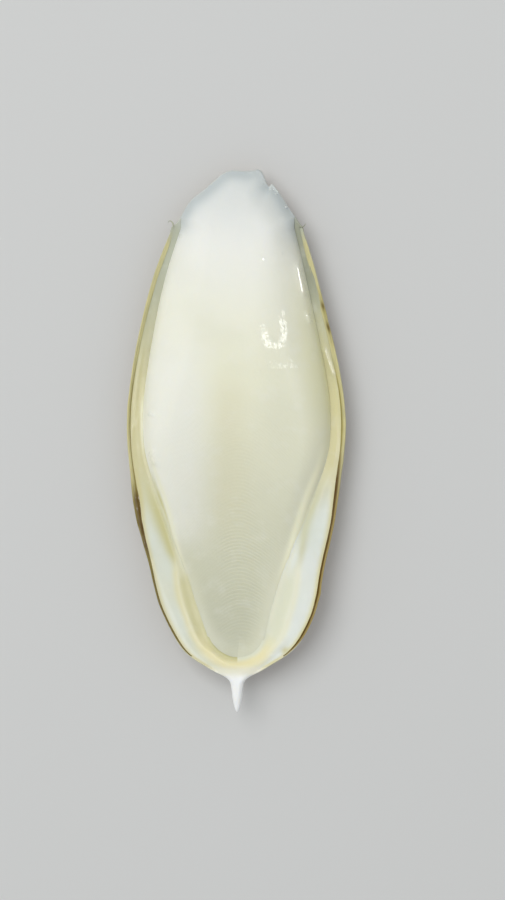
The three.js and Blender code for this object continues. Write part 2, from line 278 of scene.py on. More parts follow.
def body_top(x, back, inside, sink=0.0):
    """The chalky body's rounded top, which starts `sink` below the shield's surface at its edge."""
    outer = shield_top(x, back, inside) - sink
    across = np.abs(x - lean(back)) / body_half(back)
    valley = valley_depth(back) * smooth_step(0, 0.75, across)
    lip = LIP_RISE * smooth_step(60, 72, back) * ridge(inside - lip_inset(back), LIP_HALF)
    body = body_height(back) + valley + lip - crown_drop(back) * across**2
    into = np.hypot(np.maximum(inside, 0), FOOT_FILLET) - FOOT_FILLET
    slope = 1 - np.clip(into / shoulder_breadth(back), 0, 1)
    return outer + (body - outer) * (1 - slope**2) ** shoulder_power(back)


# Meshes from grids of points


def grid_faces(rows, columns, first=0, flip=False):
    """Quads of a grid of points numbered row by row."""
    i, j = np.meshgrid(np.arange(rows - 1), np.arange(columns - 1), indexing="ij")
    corner = first + i * columns + j
    quads = np.stack([corner, corner + columns, corner + columns + 1, corner + 1], -1).reshape(-1, 4)
    return quads[:, ::-1] if flip else quads


def border(rows, columns):
    """The numbers of a grid's outer points, once round, against the clock with the rows running down."""
    left = [i * columns for i in range(rows)]
    bottom = [(rows - 1) * columns + j for j in range(1, columns)]
    right = [i * columns + columns - 1 for i in range(rows - 2, -1, -1)]
    top = list(range(columns - 2, 0, -1))
    return left + bottom + right + top


def piece_from(name, points, faces, tone, masks=None):
    """A smooth-shaded mesh object from points in mm, with a colour and mask values on each point."""
    mesh = bpy.data.meshes.new(name)
    mesh.from_pydata((np.asarray(points) * MM).tolist(), [], [list(map(int, face)) for face in faces])
    colours = mesh.attributes.new("tone", "FLOAT_COLOR", "POINT")
    colours.data.foreach_set("color", np.asarray(tone, np.float32).ravel())
    for mask, values in (masks or {}).items():
        attribute = mesh.attributes.new(mask, "FLOAT", "POINT")
        attribute.data.foreach_set("value", np.asarray(values, np.float32))
    mesh.shade_smooth()
    mesh.update()
    made = bpy.data.objects.new(name, mesh)
    bpy.context.scene.collection.objects.link(made)
    return made


def closed_pair(top, bottom):
    """Points, faces and border of a closed piece: two like grids, joined by a wall that bulges outwards."""
    rows, columns = top.shape[:2]
    loop = border(rows, columns)
    flat_top, flat_bottom = top.reshape(-1, 3), bottom.reshape(-1, 3)
    upper, lower = flat_top[loop], flat_bottom[loop]
    along = np.roll(upper, -1, 0) - np.roll(upper, 1, 0)
    outward = np.stack([along[:, 1], -along[:, 0], np.zeros(len(loop))], 1)
    outward /= np.maximum(np.linalg.norm(outward, axis=1, keepdims=True), 1e-9)
    thickness = np.linalg.norm(upper - lower, axis=1, keepdims=True)
    rings = []
    for k in range(1, WALL_RINGS + 1):
        share = k / (WALL_RINGS + 1)
        bulge = 0.3 * thickness * math.sin(math.pi * share)
        rings.append(upper + (lower - upper) * share + outward * bulge)
    points = np.concatenate([flat_top, flat_bottom, *rings])
    count = rows * columns
    faces = [grid_faces(rows, columns), grid_faces(rows, columns, count, flip=True)]
    size = len(loop)
    numbers = [np.array(loop)]
    numbers += [2 * count + k * size + np.arange(size) for k in range(WALL_RINGS)]
    numbers.append(count + np.array(loop))
    for above, below in zip(numbers, numbers[1:]):
        faces.append(np.stack([above, below, np.roll(below, -1), np.roll(above, -1)], 1))
    return points, np.concatenate(faces), loop


def in_place(x, back, z):
    """Points at x from the midline, which sways a little along the shell."""
    return np.stack([x + sway(back), FRONT_Y - back, z], -1)


def cells(x, back, size, layer=0.0):
    """Smooth noise from -1 to 1 over the plan, with lumps of about `size` mm."""
    flat = zip(np.ravel(x) / size, np.ravel(back) / size)
    return np.array([noise.noise(Vector((a, b, layer))) for a, b in flat]).reshape(np.shape(x))


# Tones, laid over one another on the points of a piece


def colour(red, green, blue):
    """An sRGB colour given from 0 to 255, as Blender's linear one."""
    def linear(value):
        share = value / 255
        return share / 12.92 if share <= 0.04045 else ((share + 0.055) / 1.055) ** 2.4
    return linear(red), linear(green), linear(blue), 1.0


CHALK_WHITE = colour(246, 247, 240)
CHALK_CREAM = colour(243, 243, 219)
CHALK_GREY = colour(210, 211, 186)
TIP_BLUE = colour(214, 220, 219)
EDGE_BLUE = colour(186, 195, 194)
# Painted shade for the right flank near the body's edge.
FLANK_SHADE_YELLOW = colour(228, 226, 172)
# Painted shade: grey for the front of the right flank and the low rear of the body.
PAINTED_SHADE_GREY = colour(160, 164, 148)
VALLEY_YELLOW = colour(226, 221, 184)
MARGIN_GREY = colour(188, 192, 172)
MARGIN_CREAM = colour(214, 209, 166)
MARGIN_SHADE = colour(170, 167, 134)
FRONT_SHADE = colour(160, 163, 143)
# Painted shade in the groove beside the body's rear edge and on the left wall inside the inner cone's
# ridge.
GROOVE_SHADE_YELLOW = colour(207, 203, 150)
WING_BLUE = colour(226, 232, 221)
HEM_CREAM = colour(222, 216, 170)
# Painted light on the right wall inside the inner cone's ridge, which faces the light.
WALL_PAINTED_LIGHT = colour(230, 232, 208)
# Painted highlights along the crests at the body's rear edge and the inner cone's ridge; the yellow one is
# for the left side and the body's rear edge.
CREST_HIGHLIGHT = colour(240, 240, 216)
CREST_BRIGHT_HIGHLIGHT = colour(255, 254, 222)
CREST_YELLOW_HIGHLIGHT = colour(230, 226, 186)
CRESCENT_YELLOW = colour(242, 234, 188)
ROOT_CREAM = colour(248, 246, 224)
SPINE_WHITE = colour(252, 255, 252)
BACK_CREAM = colour(232, 218, 196)
BACK_PINK = colour(222, 196, 174)
GLASSY = colour(240, 248, 246)
HORN_AMBER = colour(200, 195, 148)
HORN_PALE = colour(216, 208, 154)
HORN_GOLD = colour(186, 164, 98)
HORN_OLIVE = colour(142, 130, 58)
HORN_BROWN = colour(90, 65, 6)


def layers(ground, *coats):
    """Colours on points: a ground colour, then coats (mask, colour), each over the ones before."""
    tone = np.array(ground, float)
    for mask, coat in coats:
        share = np.clip(mask, 0, 1)[..., None]
        tone = tone + (np.asarray(coat) - tone) * share
    return tone.reshape(-1, 4)


# Wet strokes: places (x, back) along each one, its half breadth, how wet it is and how far it swells up


class Stroke:
    def __init__(self, places, half, wet=1.0, rise=0.0):
        self.places = np.array(places, float)
        self.half = half
        self.wet = wet
        self.rise = rise


WET_LOOP = Stroke([(6.6, 37.0), (7.3, 38.9), (9.0, 39.3), (10.3, 38.7), (10.8, 36.2), (10.6, 34.0)], 0.75)
WET_ENDS = [
    Stroke([(5.9, 34.9), (6.5, 36.8)], 0.9, wet=0.5),
    Stroke([(10.5, 33.8), (10.8, 31.3)], 1.0, wet=0.5),
]
WET_BAND = Stroke([(6.4, 43.1), (9.2, 43.3), (11.7, 43.0), (13.2, 43.8)], 1.1, wet=0.42)
MARGIN_FOLD = Stroke([(19.65, 39.6), (20.45, 42.2), (21.35, 44.9)], 0.5)
FLANK_STROKES = [
    Stroke([(13.9, 21.2), (14.45, 23.6), (15.35, 27.2)], 0.72, rise=0.4),
    Stroke([(16.2, 31.9), (16.7, 33.6)], 0.5, rise=0.36),
    Stroke([(5.8, 19.7), (6.1, 19.7)], 0.4, rise=0.12),
    Stroke([(10.3, 18.7), (10.35, 18.9)], 0.3, rise=0.12),
    Stroke([(-12.5, 14.3), (-12.4, 14.7)], 0.45, rise=0.2),
    Stroke([(-19.2, 54.0), (-18.6, 54.1)], 0.5, rise=0.38),
    Stroke([(-18.7, 62.8), (-18.3, 64.6)], 0.8, rise=0.4),
]


def stroke_gap(x, back, stroke):
    """Distance from the middle of a stroke."""
    gap = np.full(np.shape(x), np.inf)
    for (ax, ab), (bx, bb) in zip(stroke.places, stroke.places[1:]):
        length = (bx - ax) ** 2 + (bb - ab) ** 2
        share = np.clip(((x - ax) * (bx - ax) + (back - ab) * (bb - ab)) / length, 0, 1)
        gap = np.minimum(gap, np.hypot(x - ax - share * (bx - ax), back - ab - share * (bb - ab)))
    return gap


def wet_stroke(x, back, stroke):
    gap = stroke_gap(x, back, stroke)
    return stroke.wet * smooth_step(1.5 * stroke.half, 0.5 * stroke.half, gap)


# The shield, which is the domed back, the margin beside the body, the wings, the inner cone and the spine


def zone_places(zones):
    """Places from edge to edge, for zones given as (breadth, count) from the midline outwards."""
    places = [np.zeros_like(zones[0][0])]
    for breadth, count in zones:
        for _ in range(count):
            places.append(places[-1] + breadth / count)
    half = np.stack(places, -1)
    return np.concatenate([-half[..., :0:-1], half], -1)


def shield_places(side, counts):
    """Shares of the half breadth where each row has its points, and how far each leans with the body."""
    place = np.minimum(side, 107.3)
    half = rim_half(place)
    rim = np.minimum(rim_breadth(place) * 0.5, half * 0.1)
    wing = np.maximum(0.8, half - rim - hollow_half(place))
    rest = half - rim - wing
    near = np.minimum(2.0, rest * 0.3)
    places = zone_places([(rest - near, counts[0]), (near, counts[1]), (wing, counts[2]), (rim, counts[3])])
    share = places / half[:, None]
    outwards = 1 - hollow_half(place) / half
    leaning = np.minimum(1, (1 - np.abs(share)) / outwards[:, None])
    return share, leaning


def shield_edge(side):
    """Half breadths left and right: the shield ends under the horny rim, or at the outline past the rim."""
    covered = 0.5 * smooth_step(107, 100, side) * smooth_step(12.6, 15, side)
    return rim_half(side) - covered * left_horn(side), rim_half(side) - covered * right_horn(side)


def make_shield():
    rows = 320
    counts = ((26, 5, 32, 4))
    row_place = through([
        (0, 12.6), (0.1, 17), (0.42, 66), (0.7, 100), (0.86, 109.6), (0.93, 113.6), (1, LENGTH),
    ])
    side = row_place(np.linspace(0, 1, rows))
    share, leaning = shield_places(side, counts)
    pull = (1 - np.clip((side - FRONT_CORNER_BACK) / FRONT_REACH, 0, 1)) ** 3
    back = side[:, None] + pull[:, None] * (front_edge(share[0] * FRONT_CORNER_HALF) - FRONT_CORNER_BACK)
    left_edge, right_edge = shield_edge(side)
    x = share * np.where(share < 0, left_edge[:, None], right_edge[:, None]) + leaning * lean(side)[:, None]
    inside = inside_body(x, back)
    low = underside(x, back)
    top = blend_to_spine(shield_top(x, back, inside), x, back, 1)
    top = top + margin_relief(x, back, inside)
    top = top + (low + 0.45 - top) * smooth_step(0.25, 1.5, inside)
    bottom = np.maximum(low + back_relief(x, back), 0.0)
    points, faces, loop = closed_pair(in_place(x, back, top), in_place(x, back, bottom))

    belly = shield_tone(x, back, inside)
    under = layers(
        np.tile(BACK_CREAM, (x.size, 1)),
        (0.5 + 0.8 * np.ravel(cells(x, back, 14, 3.0)), BACK_PINK),
        (np.ravel(smooth_step(109.5, 113.5, back)), SPINE_WHITE),
    )
    tone = np.concatenate([belly, under, np.tile(belly[loop], (WALL_RINGS, 1))])
    wet = 0.08 + 0.92 * np.ravel(wet_stroke(x, back, MARGIN_FOLD))
    wet = np.concatenate([wet, np.full(x.size, 0.1), np.tile(wet[loop], WALL_RINGS)])
    return piece_from("shield", points, faces, tone, {"wet": wet})


def shield_tone(x, back, inside):
    out = -inside
    inset = crest_inset(x, back)
    from_rim = rim_half(back) - np.abs(x) - np.where(x < 0, left_horn(back), right_horn(back))
    rear = smooth_step(64, 78, back)
    patch = cells(x, back, 6, 1.0)
    flake = ridge(np.hypot(x - 10.4, back - 106.4), 0.8)
    outwards = smooth_step(77, 88, back)
    left_groove = ridge(out - 1.1, 1.8 - 0.6 * outwards)
    right_groove = 0.55 * ridge(out - 0.4 - 2.1 * outwards, 1.2 - 0.5 * outwards)
    groove = np.where(x < 0, left_groove, right_groove) * stretch(64, 76, 84, 92, back)
    first_crest = ridge(out - 0.2, 0.8) * stretch(80, 86, 98, 103, back)
    wall = smooth_step(inset + 0.2, inset - 0.9, out) * smooth_step(86, 92, back)
    second_crest = ridge(out - inset, 0.85) * smooth_step(85, 90, back)
    crescent = smooth_step(101, 108, back - 0.1 * x) * stretch(-0.3, 1, 1, 4, out)
    return layers(
        np.broadcast_to(MARGIN_GREY, (*x.shape, 4)),
        (smooth_step(20, 50, back), MARGIN_CREAM),
        (0.3 * ridge(out, 0.8) * (x < 0) * stretch(18, 28, 42, 50, back), MARGIN_SHADE),
        (0.9 * (x > 0) * smooth_step(34, 22, back), FRONT_SHADE),
        (smooth_step(44, 54, back) * (x > 0), HEM_CREAM),
        (0.8 * smooth_step(0.8, 0.1, out) * (x < 0) * ridge(back - 56, 6), CHALK_CREAM),
        (rear, WING_BLUE),
        (rear * np.where(x < 0, 0.15 + 0.3 * patch, 0.1 * patch), HEM_CREAM),
        (0.3 * (x > 0) * smooth_step(80, 88, back), SPINE_WHITE),
        (smooth_step(60, 72, back) * ridge(from_rim, 0.7), HEM_CREAM),
        (0.9 * ridge(back - 70, 6) * ridge(from_rim, 0.9) * (x < 0), HORN_PALE),
        # painted shade in the groove, and on the left wall inside the ridge
        (groove, GROOVE_SHADE_YELLOW),
        (wall * (x < 0), GROOVE_SHADE_YELLOW),
        # painted light on the right wall
        (wall * (x >= 0), WALL_PAINTED_LIGHT),
        # painted highlights along the crests, yellower on the left
        (0.45 * first_crest * (x < 0), CREST_YELLOW_HIGHLIGHT),
        (0.6 * first_crest * (x >= 0), CREST_HIGHLIGHT),
        (second_crest * (x < 0), CREST_YELLOW_HIGHLIGHT),
        (second_crest * (x >= 0), CREST_HIGHLIGHT),
        (crescent, CRESCENT_YELLOW),
        (flake, MARGIN_CREAM),
        (smooth_step(109.4, 111.2, back), ROOT_CREAM),
        (smooth_step(111.0, 113.0, back), SPINE_WHITE),
        (ridge(out + 1.2, 2.2) * smooth_step(14, 9, back), TIP_BLUE),
        (0.6 * (x > 10) * stretch(8, 11, 13, 16, back), FRONT_SHADE),
    )


right_fold = through([(18, 1.2), (32, 1.45), (40, 2.3), (45, 1.8), (58, 2.0)])
left_fold = through([(30, 1.6), (50, 1.7), (64, 2.0)])


def margin_relief(x, back, inside):
    """Low folds along the margin beside the body, and a slight unevenness."""
    from_edge = rim_half(back) - np.abs(x)
    on_right = 0.1 * ridge(from_edge - right_fold(back), 0.45) * (x > 0) * smooth_step(16, 24, back)
    on_left = 0.12 * ridge(from_edge - left_fold(back), 0.5) * (x < 0) * smooth_step(34, 44, back)
    folds = (on_right + on_left) * smooth_step(74, 60, back)
    folds = folds + 0.45 * ridge(stroke_gap(x, back, MARGIN_FOLD), 0.55)
    uneven = 0.05 * cells(x, back, 5, 4.0) + 0.025 * cells(x, back, 1.8, 6.0)
    return folds + uneven * smooth_step(110, 107, back) * smooth_step(13, 17, back)


def back_relief(x, back):
    """The domed back's growth bands, which arch forwards, and its three faint ribs."""
    across = x / rim_half(back)
    arch = 9.0 * (np.sqrt(1 + (across / 0.45) ** 2) - 1)
    phase = 2 * math.pi * (back - arch) / BAND_SPACING
    fade = smooth_step(110, 104, back) * smooth_step(0.97, 0.82, np.abs(across))
    bands = 0.04 * np.sin(phase) + 0.02 * np.sin(2 * phase + 1)
    ribs = ridge(across, 0.09) + 0.6 * ridge(np.abs(across) - 0.42, 0.08)
    return (bands - 0.22 * ribs * smooth_step(6, 30, back)) * fade + 0.03


# The chalky body


def make_body():
    rows = 520
    counts = ((42, 30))
    row_place = through([(0, BODY_CORNER_BACK), (0.06, 14), (0.25, 50), (0.95, 101), (1, HOLLOW_CORNER)])
    side = row_place(np.linspace(0, 1, rows))
    half = hollow_half(side) - BODY_GAP
    shoulder = np.minimum(shoulder_breadth(side), half * 0.6)
    flat = half - shoulder
    turn = np.linspace(0, math.pi / 2, counts[1] + 1)[1:]
    steps = np.linspace(0, 1, counts[0] + 1)
    crown_places = flat[:, None] * steps
    shoulder_places = flat[:, None] + shoulder[:, None] * np.sin(turn)
    half_places = np.concatenate([crown_places, shoulder_places], 1)
    x = np.concatenate([-half_places[:, :0:-1], half_places], 1)

    front = front_edge(x[0]) - 0.03
    front_pull = (1 - np.clip((side - BODY_CORNER_BACK) / FRONT_REACH, 0, 1)) ** 3
    table = np.linspace(HOLLOW_CORNER, HOLLOW_END, 400)
    rear = np.interp(-np.abs(x[-1]), -hollow_half(table), table)
    rear_pull = np.clip((side - HOLLOW_CORNER + HOLLOW_REACH) / HOLLOW_REACH, 0, 1) ** 3
    back = side[:, None] + front_pull[:, None] * (front - side[0])
    back = back + rear_pull[:, None] * (rear - HOLLOW_CORNER)
    x = x + lean(back)
    inside = np.maximum(inside_body(x, back), 0)
    strength = line_strength(x, back, inside)
    line = growth_line(x, back)
    ripple = 0.05 * cells(x, back, 7.0, 9.0) * smooth_step(0.5, 5, inside)
    lumps = 0.012 * cells(x, back, 1.1, 12.0) * smooth_step(1, 3, inside) * smooth_step(60, 46, back)
    sink = -0.02 + 0.1 * smooth_step(10, 14, back) - 0.05 * smooth_step(60, 76, back)
    top = body_top(x, back, inside, sink) + LINE_HEIGHT * line * strength
    top = top + ripple + lumps + wet_relief(x, back)

    every = 8
    columns = x.shape[1]
    kept = sorted(set(range(0, columns, every)) | {columns - 1})
    bottom = underside(x, back)[:, kept] + BODY_BED
    points = [in_place(x, back, top), in_place(x[:, kept], back[:, kept], bottom)]
    under = x.size
    faces = grid_faces(rows, columns).tolist()
    faces += grid_faces(rows, len(kept), under, flip=True).tolist()
    surfaces = len(faces)
    last = columns - 1
    for i in range(rows - 1):
        a, b = i * columns, under + i * len(kept)
        faces.append([a, b, b + len(kept), a + columns])
        end = b + len(kept) - 1
        faces.append([a + last, a + last + columns, end + len(kept), end])
    for row, flip in ((0, False), (rows - 1, True)):
        for k, (first, second) in enumerate(zip(kept, kept[1:])):
            upper = [row * columns + j for j in range(first, second + 1)]
            lower = [under + row * len(kept) + k + 1, under + row * len(kept) + k]
            face = upper + lower
            faces.append(face[::-1] if flip else face)
    tone = body_tone(x, back, inside, 0.5 * line * strength)
    tone = np.concatenate([tone, tone.reshape(*x.shape, 4)[:, kept].reshape(-1, 4)])
    wet = wet_patches(x, back)
    wet = np.concatenate([wet.ravel(), wet[:, kept].ravel()])
    points = np.concatenate([grid.reshape(-1, 3) for grid in points])
    body = piece_from("chalky_body", points, faces, tone, {"wet": wet})
    for wall in body.data.polygons[surfaces:]:
        wall.use_smooth = False
    return body


def body_tone(x, back, inside, line):
    on_left = smooth_step(2, 12, -x)
    on_right = smooth_step(3, 10, x)
    front = np.where(back < 20, inside, 40)
    # flank: the right flank near the body's edge, where the painted shade goes.
    flank = smooth_step(7.8, 2.2, inside) * smooth_step(0, 5, x)
    lip = lip_inset(back)
    groove = smooth_step(lip - 0.3, lip - 1.1, inside) * stretch(64, 74, 84, 91, back)
    groove = groove * np.where(x < 0, 1, 0.2)
    crest = ridge(inside - lip + np.where(x < 0, 0.1, -0.05), np.where(x < 0, 0.55, 0.8))
    crest = crest * stretch(58, 70, 86, 92, back)
    left_edge_painted_light = 0.3 * smooth_step(3.5, 0, inside) * smooth_step(84, 94, back)
    right_edge_painted_light = 0.45 * smooth_step(6, 0, inside) * smooth_step(72, 86, back)
    edge = ridge(inside, 0.5) * stretch(70, 78, 90, 96, back)
    valley = ridge(x + 1.5, 5.0) * stretch(40, 52, 70, 90, back)
    return layers(
        np.broadcast_to(CHALK_WHITE, (*x.shape, 4)),
        (smooth_step(10, 46, back), CHALK_CREAM),
        (0.92 * smooth_step(44, 96, back), CHALK_GREY),
        # painted shade: the low rear of the body darker
        (0.2 * smooth_step(88, 104, back), PAINTED_SHADE_GREY),
        # painted light: the body's sides near its rear edge lighter
        (np.where(x < 0, left_edge_painted_light, right_edge_painted_light), CHALK_CREAM),
        # painted shade: the right side a little darker, away from the light
        (0.3 * on_right * (1 - flank) * stretch(12, 24, 54, 66, back), CHALK_GREY),
        # painted shade on the right flank, darkest at the body's edge
        (flank * flank_shade_share(back), FLANK_SHADE_YELLOW),
        # painted shade: the right flank greyer near the front
        (0.35 * flank * smooth_step(26, 14, back), PAINTED_SHADE_GREY),
        (0.35 * valley, VALLEY_YELLOW),
        # painted light: the left flank whiter, as on the side facing the light
        (0.6 * on_left * stretch(28, 44, 76, 88, back), CHALK_WHITE),
        # painted shade in the groove beside the body's rear edge, mostly on the left
        (groove, GROOVE_SHADE_YELLOW),
        # painted highlights along the crest inside the body's rear edge, brightest on the right
        (crest * (x < 0), CREST_HIGHLIGHT),
        (crest * (x >= 0), CREST_BRIGHT_HIGHLIGHT),
        # painted highlight along the body's rear edge
        (0.7 * edge, CREST_YELLOW_HIGHLIGHT),
        (0.8 * ridge(front, 2.6) * smooth_step(18, 9, back), TIP_BLUE),
        (0.6 * smooth_step(20, 2, back), TIP_BLUE),
        (0.6 * ridge(front - 0.6, 1.4) * smooth_step(17, 10, back - 0.1 * x), EDGE_BLUE),
        # the growth lines a little darker in colour, partly painted shade of their low steps
        (0.12 * line, HORN_OLIVE),
    )


def line_strength(x, back, inside):
    along = smooth_step(46, 62, back)
    across = smooth_step(20, 9, np.abs(x))
    return along * (0.25 + 0.75 * across) * smooth_step(0.4, 2.5, inside)


def growth_line(x, back):
    """The steps where the edge of each chamber's floor shows, from -1 to 1, in arches towards the front."""
    drop = 5.5 * (np.sqrt(1 + ((x - 0.5) / 5.0) ** 2) - 1)
    phase = 2 * math.pi * (back - drop + 0.35 * cells(x, back, 9.0, 2.0)) / LINE_SPACING
    weight = 1 + 0.6 * cells(x, back, 4.0, 5.0)
    return weight * (np.sin(phase) + 0.35 * np.sin(2 * phase + 0.6)) / 1.3


def wet_relief(x, back):
    """Low swellings of the wet surface along the body's sides, which catch the light."""
    return sum(stroke.rise * ridge(stroke_gap(x, back, stroke), stroke.half) for stroke in FLANK_STROKES)


def wet_patches(x, back):
    """How wet the body is: a curved patch right of the middle, a weaker one behind, and the swellings."""
    wet = sum(wet_stroke(x, back, stroke) for stroke in (WET_LOOP, *WET_ENDS, WET_BAND, *FLANK_STROKES))
    return 0.06 + 0.94 * np.clip(wet, 0, 1)


# The horny rim


def rim_stations(side_sign):
    """Stations from the rear to the front: inner and outer edge, lip height and thickness, in mm."""
    back = np.linspace(RIM_REAR, RIM_FRONT, 330)
    half = rim_half(back)
    breadth = (left_horn(back) if side_sign < 0 else right_horn(back)) + 0.1
    waver = 0.07 * np.array([noise.noise(Vector((place / 3.5, side_sign, 0.5))) for place in back])
    kink = 0.16 * ridge(back - 93.8, 1.4) * (side_sign > 0)
    lip = 0.06 + 0.2 * smooth_step(24, 46, back) * (1 - 0.6 * smooth_step(98, 107, back))
    inner_z = shield_top(half - breadth, back, FAR_OUTSIDE) - 0.25
    outer_z = underside(half, back) + 0.2
    inner = in_place(side_sign * (half - breadth), back, inner_z)
    outer = in_place(side_sign * (half + waver + kink - 0.03), back, outer_z)
    return [(*edges, STRIP_THICKNESS) for edges in zip(inner, outer, lip)]


def fray_stations(start, path, thread_half):
    """The rim's loose front end: the strip rounds off, and a thread of it curls away along a short path."""
    inner, outer = Vector(start[0]), Vector(start[1])
    knots = [Vector((x, FRONT_Y - back, z)) for x, back, z in path]
    knots = [2 * knots[0] - knots[1]] + knots + [2 * knots[-1] - knots[-2]]
    steps = 34
    stations = []
    strip_half = (outer - inner).length / 2
    strip_middle = (inner + outer) / 2
    across = (outer - inner).normalized()
    previous = strip_middle
    for k in range(1, steps + 1):
        at = k / steps * (len(knots) - 3) * 0.999
        i = int(at) + 1
        t = at - int(at)
        before, a, b, after = knots[i - 1:i + 3]
        point = 0.5 * (
            2 * a + (b - before) * t + (2 * before - 5 * a + 4 * b - after) * t * t
            + (3 * a - before - 3 * b + after) * t**3
        )
        forward = (point - previous).normalized()
        across = (across - across.dot(forward) * forward).normalized()
        share = k / steps
        root = max(0.0, 1 - share / 0.25)
        half = max(strip_half * root**0.5, thread_half * (1 - share) ** 0.6 + 0.05)
        centre = point + (strip_middle - point) * root
        thickness = 0.26 * (1 - share) + 0.1
        stations.append((centre - across * half, centre + across * half, 0.04 * root, thickness))
        previous = point
    return stations


RIM_ACROSS = [0.0, 0.1, 0.2, 0.3, 0.4, 0.5, 0.6, 0.7, 0.8, 0.88, 0.94, 0.98, 1.0]
RIM_UNDER = [0.0, 0.3, 0.6, 0.88, 0.985]


def make_rim(name, side_sign, path, thread_half):
    """A thin horny strip with a raised outer lip, closed at both ends, from the rear to the frayed end."""
    stations = rim_stations(side_sign)
    stations += fray_stations(stations[-1], path, thread_half)
    points, places, backs = [], [], []
    for inner, outer, lip, thickness in stations:
        inner, outer = np.array(inner), np.array(outer)
        rises = [thickness + lip * math.exp(-((q - 0.78) / 0.16) ** 2) for q in RIM_ACROSS]
        rises[0] *= 0.3
        rises[1] *= 0.75
        rises[-2] *= 0.8
        rises[-1] *= 0.45
        ring = [inner + (outer - inner) * q + (0, 0, r) for q, r in zip(RIM_ACROSS, rises)]
        drops = [-0.06, -0.12, -0.12, -0.1, 0.0]
        under = [inner + (outer - inner) * q + (0, 0, d) for q, d in zip(RIM_UNDER, drops)]
        points += ring + under[::-1]
        places += RIM_ACROSS + RIM_UNDER[::-1]
        backs += [FRONT_Y - outer[1]] * (len(RIM_ACROSS) + len(RIM_UNDER))
    size = len(RIM_ACROSS) + len(RIM_UNDER)
    count = len(stations)
    faces = []
    for i in range(count - 1):
        for k in range(size):
            a, b = i * size + k, i * size + (k + 1) % size
            quad = [a, b, b + size, a + size]
            faces.append(quad if side_sign < 0 else quad[::-1])
    first = list(range(size))
    last = [(count - 1) * size + k for k in range(size)]
    faces.append(first[::-1] if side_sign < 0 else first)
    faces.append(last if side_sign < 0 else last[::-1])
    tone = rim_tone(side_sign, np.array(backs), np.array(places))
    return piece_from(name, points, faces, tone, {"wet": np.ones(len(points))})


def rim_tone(side_sign, back, q):
    """Amber horn with a dark inner line, a brown pocket on the left and brown spots on the right."""
    patch = np.array([noise.noise(Vector((b / 2.5, p * 1.5, side_sign))) for b, p in zip(back, q)])
    middle = smooth_step(40, 50, back)
    rear = smooth_step(66, 76, back)
    inner = ridge(q - 0.22, 0.2)
    outer = smooth_step(0.45, 0.7, q)
    coats = [
        (0.4 + 0.8 * patch, HORN_PALE),
        (smooth_step(17, 12.5, back), MARGIN_GREY),
        (0.65 * smooth_step(0.35, 0.0, q) * (1 - middle), MARGIN_GREY if side_sign < 0 else FRONT_SHADE),
        (0.85 * inner * middle, HORN_OLIVE),
        ((0.3 if side_sign < 0 else 0.1) * inner * smooth_step(38, 46, back), HORN_BROWN),
    ]
    if side_sign < 0:
        pocket = stretch(65, 74, 86, 93, back)
        wedge = stretch(68.5, 73.5, 82, 89, back)
        coats += [
            # painted highlight along the left rim's raised outer lip
            (0.8 * ridge(q - 0.75, 0.2) * middle, HORN_PALE),
            ((0.75 + 0.5 * patch) * pocket, HORN_OLIVE),
            ((0.95 + 0.3 * patch) * wedge * smooth_step(1.3, 0.45, q), HORN_BROWN),
            (0.3 * inner * smooth_step(18, 28, back) * (1 - middle), HORN_OLIVE),
            (0.85 * smooth_step(84, 90, back), HORN_OLIVE),
            (0.6 * smooth_step(84, 92, back) * smooth_step(1.0, 0.5, q), HORN_BROWN),
        ]
    else:
        spots = 0.8 * ridge(back - 30.0, 0.9) + 0.9 * ridge(back - 34.8, 1.1)
        stained = stretch(24, 30, 36, 41, back)
        coats += [
            (0.6 * stained * (0.7 + 0.8 * patch) * smooth_step(0.3, 0.6, q), HORN_OLIVE),
            (spots * ridge(q - 0.7, 0.25), HORN_BROWN),
            (0.9 * rear * outer, HORN_GOLD),
            (1.1 * smooth_step(60, 70, back) * ridge(q - 0.32, 0.37), HORN_BROWN),
        ]
    return layers(np.tile(HORN_AMBER, (len(back), 1)), *coats)


# Small things: grains on the domed back and glassy chips at the broken front edge


def link_nodes(tree, *pairs):
    for source, target in pairs:
        tree.links.new(source, target)


GRAIN_SIZES = {"Grains per square metre": 3.0e6, "Grain radius": 0.00032, "Least gap": 0.0006}


